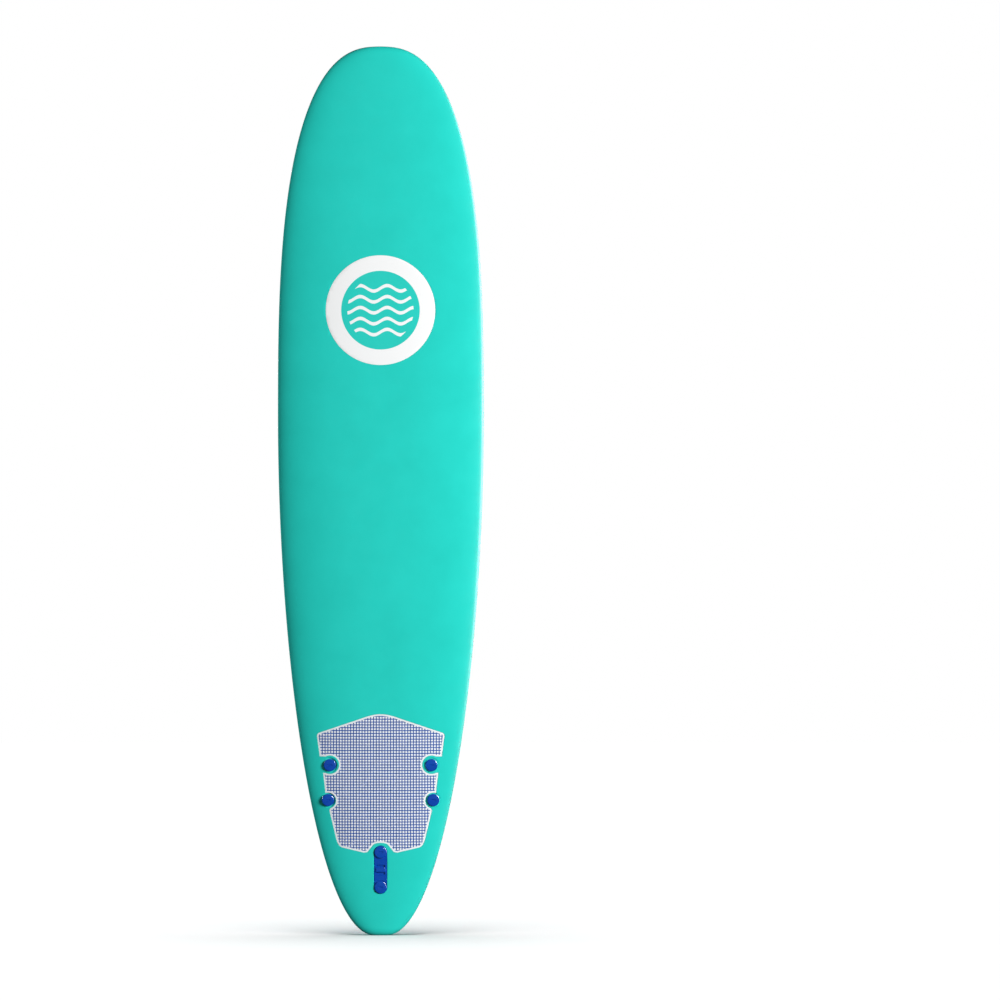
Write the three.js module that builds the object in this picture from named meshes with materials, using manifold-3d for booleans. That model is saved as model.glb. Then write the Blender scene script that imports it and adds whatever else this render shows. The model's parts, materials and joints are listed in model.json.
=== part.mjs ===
// A soft-top longboard surfboard, 8 ft long, standing upright on its tail.
// Millimetres. +Z runs from tail to nose, the deck faces -Y and the fins point to +Y.
// The origin is the middle of the small flat at the end of the tail.
// "Height" means height above the flattest part of the bottom, measured towards the deck.

import * as THREE from 'three';
import { mergeVertices } from 'three/addons/utils/BufferGeometryUtils.js';
import Module from 'manifold-3d';

const wasm = await Module();
wasm.setup();

// ---------------------------------------------------------------- driving dimensions

const LENGTH = 2438.4;
const MAX_HALF_WIDTH = 284;
const WIDE_POINT = 1416.4;
const TAIL_HALF_FLAT = 20;
const NOSE_HALF_FLAT = 4;

// Powers of the curves that draw the outline: along the board, then across it.
const TAIL_CURVE = { along: 1.8925, across: 0.5035 };
const NOSE_CURVE = { along: 2.866, across: 0.4006 };

const TAIL_LIFT = 56.2;
const NOSE_LIFT = 123;
const BOTTOM_FLAT = { from: 1155.6, to: 1303 };
const LIFT_POWER = { tail: 2.494, nose: 2.255 };

const THICK_POINT = 1250.7;
const MAX_THICKNESS = 81.5;
const TAIL_THICKNESS = 32.8;
const NOSE_THICKNESS = 28.9;
const THINNING_POWER = { tail: 2.13, nose: 2.563 };
const RAIL_APEX_SHARE = 0.41;
const RAIL_TUCK = { width: 12, largestShare: 0.3 };
const DOME_POWER = { across: 2.4, up: 1.9 };
const TAIL_ROUNDING = { reach: 20, radius: 21 };
const NOSE_ROUNDING = { reach: 22, radius: 23 };

const GAP = 0.3;
const DECK_FOAM = 8;
const RAIL_FOAM = 10;
const RAIL_WRAP = 13;
const WHITE_EDGE = 3;
const SLICK_THICKNESS = 0.8;
const BACKING_THICKNESS = 2.9;
const BOTTOM_STACK = SLICK_THICKNESS + GAP + BACKING_THICKNESS + GAP;
const STRINGER = { x: 60, thickness: 4 };

const PAD = { topDepth: 1.1, layer: 1.2 };
const BADGE = { z: 1718, radius: 150.5, thickness: 0.6 };

const SIDE_FIN = { x: 142.3, z: 415.8, toe: 3, cant: 3 };
const CENTRE_FIN = { x: 0, z: 175.8, toe: 0, cant: 0 };
const BOLT_SPACING = 96;

const BASE_PLATE = { length: 140, width: 36, thickness: 3 };
const BLADE = { thickness: 11, thinning: 0.7, frontZ: 55 };
const POST = { radius: 8, bore: 6.2, length: 28, floor: 2 };
const INSERT = { radius: 6, bore: 4.2, length: 13.6 };
const SLEEVE = { radius: 10, bore: 8.4, endMargin: 2.2 };

const SCREW = { headRadius: 17, headHeight: 6, proud: 5.5, shank: 4, length: 38 };
const HEAD_EDGE = { wide: 2.6, narrow: 0.8 };
const SCREW_TIP = { length: 1.5, inset: 1 };
const COIN_SLOT = { length: 15, width: 2.8, depth: 2 };
const WASHER = { radius: 17, bore: 4.5, thickness: 2 };
const SCREW_RECESS = { radius: 20.5, depth: 3.1 };
const SHANK_HOLE = 5;

const BRIDGE = { radius: 18, proud: 0.5, depth: 4.5, seatCut: 19 };
const BRIDGE_POCKET = { width: 24, length: 26, depth: 3.4 };
const BRIDGE_BAR = { width: 27, length: 13.5, top: 2.8, bottom: -0.3 };

const ROUND = 16;
const HOLE_SIDES = 12;
const HEAD_SIDES = 24;
const STATIONS = 34;
const DECK_STEPS = 6;
const TUCK_STEPS = 2;
const PRISM_STEPS = 8;
const PAD_CURVE_STEPS = 4;
const HALVINGS = 40;

// ---------------------------------------------------------------- shape of the board

const unit = (value) => Math.min(1, Math.max(0, value));

/** Height of the bottom's centre line: flat in the middle, lifting to tail and nose. */
function rocker(z) {
  const toTail = unit((BOTTOM_FLAT.from - z) / BOTTOM_FLAT.from);
  const toNose = unit((z - BOTTOM_FLAT.to) / (LENGTH - BOTTOM_FLAT.to));
  return TAIL_LIFT * toTail ** LIFT_POWER.tail + NOSE_LIFT * toNose ** LIFT_POWER.nose;
}

/** Thickness on the centre line, thinning from the thickest point to both ends. */
function thickness(z) {
  if (z < THICK_POINT) {
    const toTail = unit((THICK_POINT - z) / THICK_POINT);
    const kept = 1 - toTail ** THINNING_POWER.tail;
    return TAIL_THICKNESS + (MAX_THICKNESS - TAIL_THICKNESS) * kept;
  }
  const toNose = unit((z - THICK_POINT) / (LENGTH - THICK_POINT));
  const kept = 1 - toNose ** THINNING_POWER.nose;
  return NOSE_THICKNESS + (MAX_THICKNESS - NOSE_THICKNESS) * kept;
}

/** Half the plan width; an inner layer is inset by the same amount at sides and ends. */
function halfWidth(z, inset) {
  const widest = MAX_HALF_WIDTH - inset;
  if (z < WIDE_POINT) {
    const toTail = unit((WIDE_POINT - z) / (WIDE_POINT - inset));
    const kept = (1 - toTail ** TAIL_CURVE.along) ** TAIL_CURVE.across;
    return TAIL_HALF_FLAT + (widest - TAIL_HALF_FLAT) * kept;
  }
  const toNose = unit((z - WIDE_POINT) / (LENGTH - inset - WIDE_POINT));
  const kept = (1 - toNose ** NOSE_CURVE.along) ** NOSE_CURVE.across;
  return NOSE_HALF_FLAT + (widest - NOSE_HALF_FLAT) * kept;
}

/** Share of the thickness left where the ends are rounded over. */
function endRounding(z) {
  const { reach, radius } = z < LENGTH / 2 ? TAIL_ROUNDING : NOSE_ROUNDING;
  const fromEnd = Math.min(z, LENGTH - z);
  return Math.sqrt(1 - (Math.max(0, reach - fromEnd) / radius) ** 2);
}

/** Lowest, highest and rail-apex heights of the board's section. */
function heights(z) {
  const full = thickness(z);
  const kept = full * endRounding(z);
  const low = rocker(z) + (full - kept) / 2;
  return { low, high: low + kept, apex: low + RAIL_APEX_SHARE * kept };
}

const ORIGIN_HEIGHT = rocker(0) + thickness(0) / 2;
const yAt = (height) => ORIGIN_HEIGHT - height;

/** Height of the deck above a point; the section is a flat dome between the rails. */
function deckHeight(x, z) {
  const { high, apex } = heights(z);
  const across = unit(Math.abs(x) / halfWidth(z, 0));
  return apex + (high - apex) * (1 - across ** DOME_POWER.across) ** (1 / DOME_POWER.up);
}

/** Stations along the board, closer together towards its ends. */
function stations(start, end) {
  const inner = [];
  for (let i = 1; i < STATIONS; i += 1) {
    const z = (LENGTH * (1 - Math.cos((Math.PI * i) / STATIONS))) / 2;
    if (z > start + 1 && z < end - 1) inner.push(z);
  }
  return [start, ...inner, end];
}

/** Section through a layer inset from the board's rails, deck and bottom. */
function boardSection(z, { rail, deck, bottom }) {
  const { low, high, apex } = heights(z);
  const half = halfWidth(z, rail);
  const tuck = Math.min(RAIL_TUCK.width, RAIL_TUCK.largestShare * half);
  const floor = low + bottom;
  const right = [];
  for (let i = TUCK_STEPS; i > 0; i -= 1) {
    const angle = (i / TUCK_STEPS) * (Math.PI / 2);
    right.push([half - tuck * (1 - Math.cos(angle)), apex - (apex - floor) * Math.sin(angle)]);
  }
  for (let i = 0; i < DECK_STEPS; i += 1) {
    const angle = (i / DECK_STEPS) * (Math.PI / 2);
    const across = Math.cos(angle) ** (2 / DOME_POWER.across);
    const up = Math.sin(angle) ** (2 / DOME_POWER.up);
    right.push([half * across, apex + (high - deck - apex) * up]);
  }
  const left = right.map(([x, height]) => [-x, height]).reverse();
  return [...right, [0, high - deck], ...left];
}

/** Flat-sided section of a sheet that follows the bottom. */
function sheetSection(z, inset, from, to) {
  const { low } = heights(z);
  const half = halfWidth(z, inset);
  return [[half, low + from], [half, low + to], [-half, low + to], [-half, low + from]];
}

/** Closed surface through rings of points that all turn the same way. */
function loft(rings) {
  const size = rings[0].length;
  const positions = rings.flat(2);
  const index = [];
  for (let i = 0; i + 1 < rings.length; i += 1) {
    for (let j = 0; j < size; j += 1) {
      const next = (j + 1) % size;
      const [a, b] = [i * size + j, i * size + next];
      const [c, d] = [a + size, b + size];
      index.push(a, c, b, b, c, d);
    }
  }
  const last = (rings.length - 1) * size;
  for (let j = 1; j + 1 < size; j += 1) {
    index.push(0, j, j + 1, last, last + j + 1, last + j);
  }
  const geometry = new THREE.BufferGeometry();
  geometry.setAttribute('position', new THREE.Float32BufferAttribute(positions, 3));
  geometry.setIndex(index);
  return geometry;
}

const ringAt = (z, section) => section.map(([x, height]) => [x, yAt(height), z]);

function boardLayer(layer) {
  const levels = stations(layer.rail, LENGTH - layer.rail);
  return solidOf(loft(levels.map((z) => ringAt(z, boardSection(z, layer)))));
}

function bottomSheet(inset, from, to) {
  const levels = stations(inset, LENGTH - inset);
  return solidOf(loft(levels.map((z) => ringAt(z, sheetSection(z, inset, from, to)))));
}

// ---------------------------------------------------------------- solid helpers

function solidOf(geometry) {
  const bare = geometry.clone();
  bare.deleteAttribute('normal');
  bare.deleteAttribute('uv');
  const merged = mergeVertices(bare, 1e-4);
  return new wasm.Manifold(new wasm.Mesh({
    numProp: 3,
    vertProperties: Float32Array.from(merged.attributes.position.array),
    triVerts: Uint32Array.from(merged.index.array),
  }));
}

function geometryOf(solid) {
  const mesh = solid.getMesh();
  const geometry = new THREE.BufferGeometry();
  geometry.setAttribute('position', new THREE.BufferAttribute(mesh.vertProperties, 3));
  geometry.setIndex(new THREE.BufferAttribute(mesh.triVerts, 1));
  geometry.computeVertexNormals();
  return geometry;
}

/** A box given by its lowest and highest corners. */
function box(low, high) {
  const size = high.map((value, i) => value - low[i]);
  const middle = high.map((value, i) => (value + low[i]) / 2);
  return new THREE.BoxGeometry(...size).translate(...middle);
}

/** A round bar along Y, its middle line at (0, z). */
function bar(radius, fromY, toY, z) {
  const geometry = new THREE.CylinderGeometry(radius, radius, toY - fromY, ROUND);
  return geometry.translate(0, (fromY + toY) / 2, z);
}

/** A drill along Y whose flat sides lie at the given radius. */
function drill(radius, fromY, toY, z) {
  const corner = radius / Math.cos(Math.PI / HOLE_SIDES);
  const geometry = new THREE.CylinderGeometry(corner, corner, toY - fromY, HOLE_SIDES);
  return geometry.translate(0, (fromY + toY) / 2, z);
}

/** A tube along Y. */
function tube(radius, bore, fromY, toY, z) {
  const profile = [[bore, fromY], [radius, fromY], [radius, toY], [bore, toY], [bore, fromY]];
  const points = profile.map(([r, y]) => new THREE.Vector2(r, y));
  return new THREE.LatheGeometry(points, ROUND).translate(0, 0, z);
}

/** A prism along Y whose outline is drawn in X and Z. */
function prism(outline, fromY, toY) {
  const geometry = new THREE.ExtrudeGeometry(outline, {
    depth: toY - fromY,
    bevelEnabled: false,
    curveSegments: PRISM_STEPS,
  });
  return geometry.rotateX(Math.PI / 2).translate(0, toY, 0);
}

/** A slot outline with round ends, lying along Z. */
function slot(radius, spacing) {
  const outline = new THREE.Shape();
  outline.absarc(0, spacing / 2, radius, 0, Math.PI);
  outline.absarc(0, -spacing / 2, radius, Math.PI, 2 * Math.PI);
  outline.closePath();
  return outline;
}

// ---------------------------------------------------------------- fittings and their frames

/** Frame of a fin: X across, +Y out of the bottom, +Z forward, on the bottom surface. */
function finFrame({ x, z, toe }) {
  const slope = rocker(z + 1) / 2 - rocker(z - 1) / 2;
  const turn = new THREE.Euler(Math.atan(slope), -Math.sign(x) * THREE.MathUtils.degToRad(toe), 0);
  const frame = new THREE.Matrix4().makeRotationFromEuler(turn);
  return frame.setPosition(x, yAt(heights(z).low), z);
}

/** Distance along a bolt axis from the bottom to the deck. */
function deckReach(frame, boltZ) {
  let near = 0;
  let far = 2 * MAX_THICKNESS;
  for (let i = 0; i < HALVINGS; i += 1) {
    const middle = (near + far) / 2;
    const point = new THREE.Vector3(0, -middle, boltZ).applyMatrix4(frame);
    if (ORIGIN_HEIGHT - point.y < deckHeight(point.x, point.z)) near = middle;
    else far = middle;
  }
  return near;
}

const FINS = [
  { name: 'left', place: { ...SIDE_FIN, x: -SIDE_FIN.x } },
  { name: 'right', place: SIDE_FIN },
  { name: 'centre', place: CENTRE_FIN },
].map(({ name, place }) => {
  const frame = finFrame(place);
  const bolts = ['front', 'rear'].map((end) => {
    const z = (end === 'front' ? 0.5 : -0.5) * BOLT_SPACING;
    return { name: `${name}_${end}`, z, reach: deckReach(frame, z) };
  });
  return { name, place, frame, bolts };
});

/** Rows of the fin's outline: depth below the board, leading and trailing edge behind it. */
const FIN_ROWS = [
  [0, 0, 102], [13, 7, 99], [39.5, 23.5, 107], [59, 38.5, 123], [76, 53.4, 149], [82, 59, 155],
  [88, 65, 156], [96, 78.6, 152], [101, 93, 144], [104, 112, 127],
];
const FOIL_STEPS = [0.04, 0.18, 0.45, 0.75];

/** Half thickness of the foil section, 1 at its thickest; s runs from leading to trailing edge. */
const foil = (s) => (Math.sqrt(s) * (1 - s) ** 0.9) / 0.4015;

/** The blade: foil sections that thin out towards the tip, canted outward. */
function finBlade(cant) {
  const depth = FIN_ROWS.at(-1)[0];
  const root = BASE_PLATE.thickness / 2;
  const rings = FIN_ROWS.map(([down, lead, trail]) => {
    const half = (BLADE.thickness / 2) * (1 - BLADE.thinning * (down / depth));
    const front = BLADE.frontZ - lead;
    const back = BLADE.frontZ - trail;
    const side = FOIL_STEPS.map((s) => [half * foil(s), front + s * (back - front)]);
    const other = side.map(([x, z]) => [-x, z]).reverse();
    const outline = [[0, front], ...side, [0, back], ...other];
    return outline.map(([x, z]) => [x, down + root, z]).reverse();
  });
  return loft(rings).rotateZ(-THREE.MathUtils.degToRad(cant));
}

/** Base plate, blade and the two hollow posts that take the screws, in the fin's frame. */
function fin(place) {
  const plateSpan = BASE_PLATE.length - BASE_PLATE.width;
  const plate = prism(slot(BASE_PLATE.width / 2, plateSpan), GAP, GAP + BASE_PLATE.thickness);
  let solid = solidOf(plate).add(solidOf(finBlade(Math.sign(place.x) * place.cant)));
  for (const z of [BOLT_SPACING / 2, -BOLT_SPACING / 2]) {
    solid = solid.add(solidOf(bar(POST.radius, -POST.length, 1, z)));
    solid = solid.subtract(solidOf(drill(POST.bore, -POST.length - 1, -POST.floor, z)));
  }
  return solid;
}

/** Coin-slot screw: the origin is under its head, the shank runs along +Y. */
function screw() {
  const { headRadius, headHeight, shank, length } = SCREW;
  const { wide, narrow } = HEAD_EDGE;
  const profile = [
    [0, -headHeight], [headRadius - wide, -headHeight],
    [headRadius - narrow, narrow - headHeight], [headRadius, wide - headHeight],
    [headRadius, 0], [shank, 0], [shank, length - SCREW_TIP.length],
    [shank - SCREW_TIP.inset, length], [0, length],
  ];
  const points = profile.map(([r, y]) => new THREE.Vector2(r, y));
  const slotCut = box(
    [-COIN_SLOT.length / 2, -headHeight - 1, -COIN_SLOT.width / 2],
    [COIN_SLOT.length / 2, -headHeight + COIN_SLOT.depth, COIN_SLOT.width / 2],
  );
  return solidOf(new THREE.LatheGeometry(points, HEAD_SIDES)).subtract(solidOf(slotCut));
}

/** Level of the face under a screw's head, along the fin's Y. */
const seatLevel = (bolt) => -(bolt.reach + SCREW.proud - SCREW.headHeight);

/** The slot-shaped plate under the two centre screws: a leash ties to the bar over its pocket. */
function leashBridge({ bolts, frame }) {
  const plate = prism(slot(BRIDGE.radius, BOLT_SPACING), -MAX_THICKNESS, 0);
  const above = boardLayer({ rail: 0, deck: -BRIDGE.proud, bottom: 0 });
  const below = boardLayer({ rail: 0, deck: BRIDGE.depth, bottom: -MAX_THICKNESS });
  let solid = placed(plate, frame).intersect(above).subtract(below);
  const middle = (bolts[0].reach + bolts[1].reach) / 2;
  const { width, length, depth } = BRIDGE_POCKET;
  const opening = box([-width / 2, -MAX_THICKNESS, -length / 2], [width / 2, 0, length / 2]);
  const pocketFloor = boardLayer({ rail: 0, deck: depth, bottom: -MAX_THICKNESS });
  const crossBar = box(
    [-BRIDGE_BAR.width / 2, -middle - BRIDGE_BAR.top, -BRIDGE_BAR.length / 2],
    [BRIDGE_BAR.width / 2, -middle - BRIDGE_BAR.bottom, BRIDGE_BAR.length / 2],
  );
  solid = solid.subtract(placed(opening, frame).subtract(pocketFloor));
  solid = solid.add(placed(crossBar, frame));
  for (const bolt of bolts) {
    const seat = seatLevel(bolt) + GAP;
    const cut = bar(BRIDGE.seatCut, seat - 2 * SCREW.headHeight, seat, bolt.z);
    const hole = drill(WASHER.bore, -2 * MAX_THICKNESS, 0, bolt.z);
    solid = solid.subtract(placed(cut, frame)).subtract(placed(hole, frame));
  }
  return solid;
}

const placed = (geometry, frame) => solidOf(geometry.clone().applyMatrix4(frame));

/** Removes a round hole along every bolt from a layer of the board. */
function withBoltHoles(layer, radius) {
  let solid = layer;
  for (const { frame, bolts } of FINS) {
    for (const bolt of bolts) {
      const hole = drill(radius, -2 * MAX_THICKNESS, MAX_THICKNESS, bolt.z);
      solid = solid.subtract(placed(hole, frame));
    }
  }
  return solid;
}

// ---------------------------------------------------------------- deck graphics as solids

/** Moves every side of a closed outline outward by the same distance. */
function grown(points, distance) {
  const outward = Math.sign(THREE.ShapeUtils.area(points)) * distance;
  return points.map((point, i) => {
    const before = point.clone().sub(points.at(i - 1)).normalize();
    const after = points[(i + 1) % points.length].clone().sub(point).normalize();
    const corner = new THREE.Vector2(before.y + after.y, -before.x - after.x);
    return corner.multiplyScalar(outward / (1 + before.dot(after))).add(point);
  });
}

/** The traction pad, with a round scallop above and beside each pair of side-fin screws. */
function padOutline(grow) {
  const degrees = THREE.MathUtils.degToRad;
  const half = new THREE.Path();
  half.moveTo(20, 606.8);
  half.lineTo(170, 556);
  half.quadraticCurveTo(176, 553, 175.5, 546);
  half.lineTo(168, 491);
  half.absarc(139.8, 468.2, 25.5, degrees(62), degrees(297), false);
  half.lineTo(158.7, 446);
  half.lineTo(153, 398.6);
  half.absarc(144.8, 369.4, 22, degrees(70), degrees(255), false);
  half.lineTo(141, 342);
  half.lineTo(122.6, 265);
  half.quadraticCurveTo(117, 243, 104.5, 240.6);
  half.lineTo(46, 227);
  half.lineTo(36.6, 228.5);
  half.lineTo(19.5, 249.5);
  half.quadraticCurveTo(14, 253.5, 0, 254);
  const right = half.getPoints(PAD_CURVE_STEPS);
  const left = right.slice(0, -1).map(({ x, y }) => new THREE.Vector2(-x, y)).reverse();
  return new THREE.Shape(grown([...right, ...left], grow));
}

function badgeOutline(grow) {
  const outline = new THREE.Shape();
  outline.absarc(0, BADGE.z, BADGE.radius + grow, 0, 2 * Math.PI);
  return outline;
}

/** The part of a prism that lies between two depths below the deck surface. */
function deckSlice(outline, fromDepth, toDepth) {
  const above = boardLayer({ rail: 0, deck: fromDepth, bottom: 0 });
  const below = boardLayer({ rail: 0, deck: toDepth, bottom: -MAX_THICKNESS });
  return solidOf(prism(outline, -2 * NOSE_LIFT, ORIGIN_HEIGHT)).intersect(above).subtract(below);
}

// ---------------------------------------------------------------- foam and skins

function deckSkin() {
  const recessTop = -SCREW.headHeight;
  const cavity = { rail: RAIL_FOAM, deck: DECK_FOAM, bottom: BOTTOM_STACK };
  let solid = boardLayer({ rail: 0, deck: 0, bottom: 0 }).subtract(boardLayer(cavity));
  solid = solid.subtract(bottomSheet(RAIL_WRAP, -DECK_FOAM, BOTTOM_STACK + GAP));
  const padDepth = PAD.topDepth + 2 * PAD.layer + 2 * GAP;
  solid = solid.subtract(deckSlice(padOutline(GAP), recessTop, padDepth));
  solid = solid.subtract(deckSlice(badgeOutline(GAP), recessTop, BADGE.thickness + GAP));
  solid = withBoltHoles(solid, SHANK_HOLE);
  for (const { name, frame, bolts } of FINS) {
    if (name === 'centre') {
      const well = prism(slot(BRIDGE.radius + GAP, BOLT_SPACING), -2 * MAX_THICKNESS, 0);
      const below = boardLayer({ rail: 0, deck: BRIDGE.depth + GAP, bottom: -MAX_THICKNESS });
      solid = solid.subtract(placed(well, frame).subtract(below));
    } else {
      for (const bolt of bolts) {
        const floor = -(bolt.reach - SCREW_RECESS.depth);
        const spotFace = bar(SCREW_RECESS.radius, floor - MAX_THICKNESS, floor, bolt.z);
        solid = solid.subtract(placed(spotFace, frame));
      }
    }
  }
  return solid;
}

const core = withBoltHoles(
  boardLayer({ rail: RAIL_FOAM + GAP, deck: DECK_FOAM + GAP, bottom: BOTTOM_STACK + GAP }),
  SLEEVE.radius + GAP,
);

/** The part of the core between two positions across the board. */
function coreSlice(fromX, toX) {
  const slab = box([fromX, -2 * NOSE_LIFT, -1], [toX, 2 * MAX_THICKNESS, LENGTH + 1]);
  return core.intersect(solidOf(slab));
}

// ---------------------------------------------------------------- finishes and assembly

const FINISH = {
  deckFoam: { color: 0x2bd3c5, roughness: 0.62, metalness: 0 },
  whiteFoam: { color: 0xf4f8f8, roughness: 0.7, metalness: 0 },
  slick: { color: 0x0a2f6b, roughness: 0.25, metalness: 0 },
  beadFoam: { color: 0xf3f3ee, roughness: 0.9, metalness: 0 },
  plywood: { color: 0xc79a62, roughness: 0.65, metalness: 0 },
  padBlue: { color: 0x10306e, roughness: 0.8, metalness: 0 },
  padWhite: { color: 0xf2f5f7, roughness: 0.75, metalness: 0 },
  film: { color: 0xfafafa, roughness: 0.4, metalness: 0 },
  fittingBlue: { color: 0x053a9b, roughness: 0.3, metalness: 0 },
  brass: { color: 0xc9a24a, roughness: 0.35, metalness: 1 },
  sleevePlastic: { color: 0xe6e6e2, roughness: 0.5, metalness: 0 },
};

const surfboard = new THREE.Group();

function add(parent, name, geometry, finish) {
  const mesh = new THREE.Mesh(geometry, new THREE.MeshStandardMaterial(FINISH[finish]));
  mesh.name = name;
  parent.add(mesh);
  return mesh;
}

const addSolid = (name, solid, finish) => add(surfboard, name, geometryOf(solid), finish);

const webEdge = STRINGER.thickness / 2;
const stringerIn = STRINGER.x - webEdge;
const stringerOut = STRINGER.x + webEdge;
addSolid('core_left', coreSlice(-MAX_HALF_WIDTH, -stringerOut - GAP), 'beadFoam');
addSolid('core_centre', coreSlice(-stringerIn + GAP, stringerIn - GAP), 'beadFoam');
addSolid('core_right', coreSlice(stringerOut + GAP, MAX_HALF_WIDTH), 'beadFoam');
addSolid('stringer_left', coreSlice(-stringerOut, -stringerIn), 'plywood');
addSolid('stringer_right', coreSlice(stringerIn, stringerOut), 'plywood');

addSolid('deck_skin', deckSkin(), 'deckFoam');
const backingFrom = SLICK_THICKNESS + GAP;
const backing = bottomSheet(RAIL_WRAP + GAP, backingFrom, backingFrom + BACKING_THICKNESS);
addSolid('bottom_backing', withBoltHoles(backing, SLEEVE.bore), 'whiteFoam');
const slick = bottomSheet(RAIL_WRAP + WHITE_EDGE, 0, SLICK_THICKNESS);
addSolid('bottom_slick', withBoltHoles(slick, SLEEVE.bore), 'slick');

const padTopEnd = PAD.topDepth + PAD.layer;
const padBase = deckSlice(padOutline(0), padTopEnd + GAP, padTopEnd + GAP + PAD.layer);
addSolid('traction_pad_base', padBase, 'padBlue');
addSolid('traction_pad_top', deckSlice(padOutline(0), PAD.topDepth, padTopEnd), 'padWhite');
addSolid('deck_badge', deckSlice(badgeOutline(0), 0, BADGE.thickness), 'film');

for (const finUnit of FINS) {
  const fitting = new THREE.Group();
  fitting.applyMatrix4(finUnit.frame);
  surfboard.add(fitting);
  add(fitting, `fin_${finUnit.name}`, geometryOf(fin(finUnit.place)), 'fittingBlue');
  if (finUnit.name === 'centre') addSolid('leash_bridge', leashBridge(finUnit), 'fittingBlue');
  for (const bolt of finUnit.bolts) {
    const seat = seatLevel(bolt);
    const screwMesh = add(fitting, `fin_screw_${bolt.name}`, geometryOf(screw()), 'fittingBlue');
    screwMesh.position.set(0, seat, bolt.z);
    const insertTop = -POST.length + GAP;
    const insert = tube(INSERT.radius, INSERT.bore, insertTop, insertTop + INSERT.length, bolt.z);
    add(fitting, `fin_insert_${bolt.name}`, geometryOf(solidOf(insert)), 'brass');
    const sleeveEnd = -(bolt.reach - DECK_FOAM - SLEEVE.endMargin);
    const sleeve = tube(SLEEVE.radius, SLEEVE.bore, sleeveEnd, -BOTTOM_STACK - 2 * GAP, bolt.z);
    add(fitting, `fin_sleeve_${bolt.name}`, geometryOf(solidOf(sleeve)), 'sleevePlastic');
    if (finUnit.name !== 'centre') {
      const washerTop = seat + GAP;
      const washer = tube(WASHER.radius, WASHER.bore, washerTop, washerTop + WASHER.thickness, bolt.z);
      add(fitting, `screw_washer_${bolt.name}`, geometryOf(solidOf(washer)), 'fittingBlue');
    }
  }
}

export default surfboard;
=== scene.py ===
import json
import math
from contextlib import contextmanager

import bmesh
import bpy
import numpy as np
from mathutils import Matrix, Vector
from mathutils.geometry import delaunay_2d_cdt

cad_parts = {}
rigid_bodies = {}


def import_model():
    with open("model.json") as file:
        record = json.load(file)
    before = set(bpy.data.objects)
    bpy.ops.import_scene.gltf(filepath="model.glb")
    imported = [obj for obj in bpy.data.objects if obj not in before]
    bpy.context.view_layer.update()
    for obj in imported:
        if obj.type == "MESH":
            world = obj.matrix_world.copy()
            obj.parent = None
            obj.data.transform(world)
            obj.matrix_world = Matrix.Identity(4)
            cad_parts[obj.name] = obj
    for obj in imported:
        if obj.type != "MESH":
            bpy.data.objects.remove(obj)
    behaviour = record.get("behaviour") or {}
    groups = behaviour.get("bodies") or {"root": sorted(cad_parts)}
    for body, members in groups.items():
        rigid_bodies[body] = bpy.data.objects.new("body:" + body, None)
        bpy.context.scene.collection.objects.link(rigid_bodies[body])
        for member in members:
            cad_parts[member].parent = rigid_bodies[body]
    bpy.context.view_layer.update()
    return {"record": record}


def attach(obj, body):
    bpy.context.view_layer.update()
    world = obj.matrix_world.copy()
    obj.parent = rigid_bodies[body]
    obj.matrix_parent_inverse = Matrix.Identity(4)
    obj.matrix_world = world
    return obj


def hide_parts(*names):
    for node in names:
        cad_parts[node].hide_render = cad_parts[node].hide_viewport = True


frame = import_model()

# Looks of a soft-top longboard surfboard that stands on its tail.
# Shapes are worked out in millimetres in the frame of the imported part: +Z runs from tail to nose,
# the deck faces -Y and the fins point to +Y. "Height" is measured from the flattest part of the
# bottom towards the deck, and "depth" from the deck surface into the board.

MM = 0.001
TAU = 2 * math.pi

# ---- dimensions, in millimetres

# Outline, seen from the deck. A curve's two powers apply along the board and across it.
LENGTH = 2438.4
MAX_HALF_WIDTH = 284
WIDE_POINT = 1416.4
TAIL_HALF_FLAT = 20
NOSE_HALF_FLAT = 4
TAIL_CURVE = (1.8925, 0.5035)
NOSE_CURVE = (2.866, 0.4006)

# Rocker of the bottom, with its powers towards the tail and the nose.
TAIL_LIFT = 56.2
NOSE_LIFT = 123
FLAT_FROM = 1155.6
FLAT_TO = 1303
LIFT_POWER = (2.494, 2.255)

# Thickness, and the shape of a section. The roundings are the reach and radius at each end.
THICK_POINT = 1250.7
MAX_THICKNESS = 81.5
TAIL_THICKNESS = 32.8
NOSE_THICKNESS = 28.9
THINNING_POWER = (2.13, 2.563)
RAIL_APEX_SHARE = 0.41
RAIL_TUCK = 12
RAIL_TUCK_SHARE = 0.3
DOME_ACROSS = 2.4
DOME_UP = 1.9
TAIL_ROUNDING = (20, 21)
NOSE_ROUNDING = (22, 23)

# Layers. GAP is the clearance between pieces that lie against each other.
GAP = 0.3
DECK_FOAM = 8
RAIL_FOAM = 10
RAIL_WRAP = 13
WHITE_EDGE = 3
SLICK_THICKNESS = 0.8
BACKING_THICKNESS = 2.9
BOTTOM_STACK = SLICK_THICKNESS + GAP + BACKING_THICKNESS + GAP
STRINGER_X = 60
STRINGER_HALF = 2

# Traction pad and badge. PAD_TOP is the depth of the pad's face.
PAD_TOP = 1.1
PAD_LAYER = 1.2
PAD_BORDER = 4.6
TILE_PITCH = 7.85
GROOVE = 2.5
GROOVE_EDGE = 0.45
BADGE_Z = 1718
BADGE_RADIUS = 150.5
BADGE_THICKNESS = 0.6

# Fins. Levels in a fin's frame count from the bottom of the board outward.
BASE_PLATE = (140, 36)
BASE_PLATE_HEIGHT = 3.3
BLADE_THICKNESS = 11
BLADE_FRONT = 55
BLADE_DEPTH = 104
BLADE_TIP = 18
BLADE_ROOT = 1.5
BLADE_FILLET = 4.5
SIDE_CANT = 3
BOLT_HALF_SPACING = 48
POST_END = -28
POST_RADIUS = 8
POST_BORE = 6.2

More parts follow.
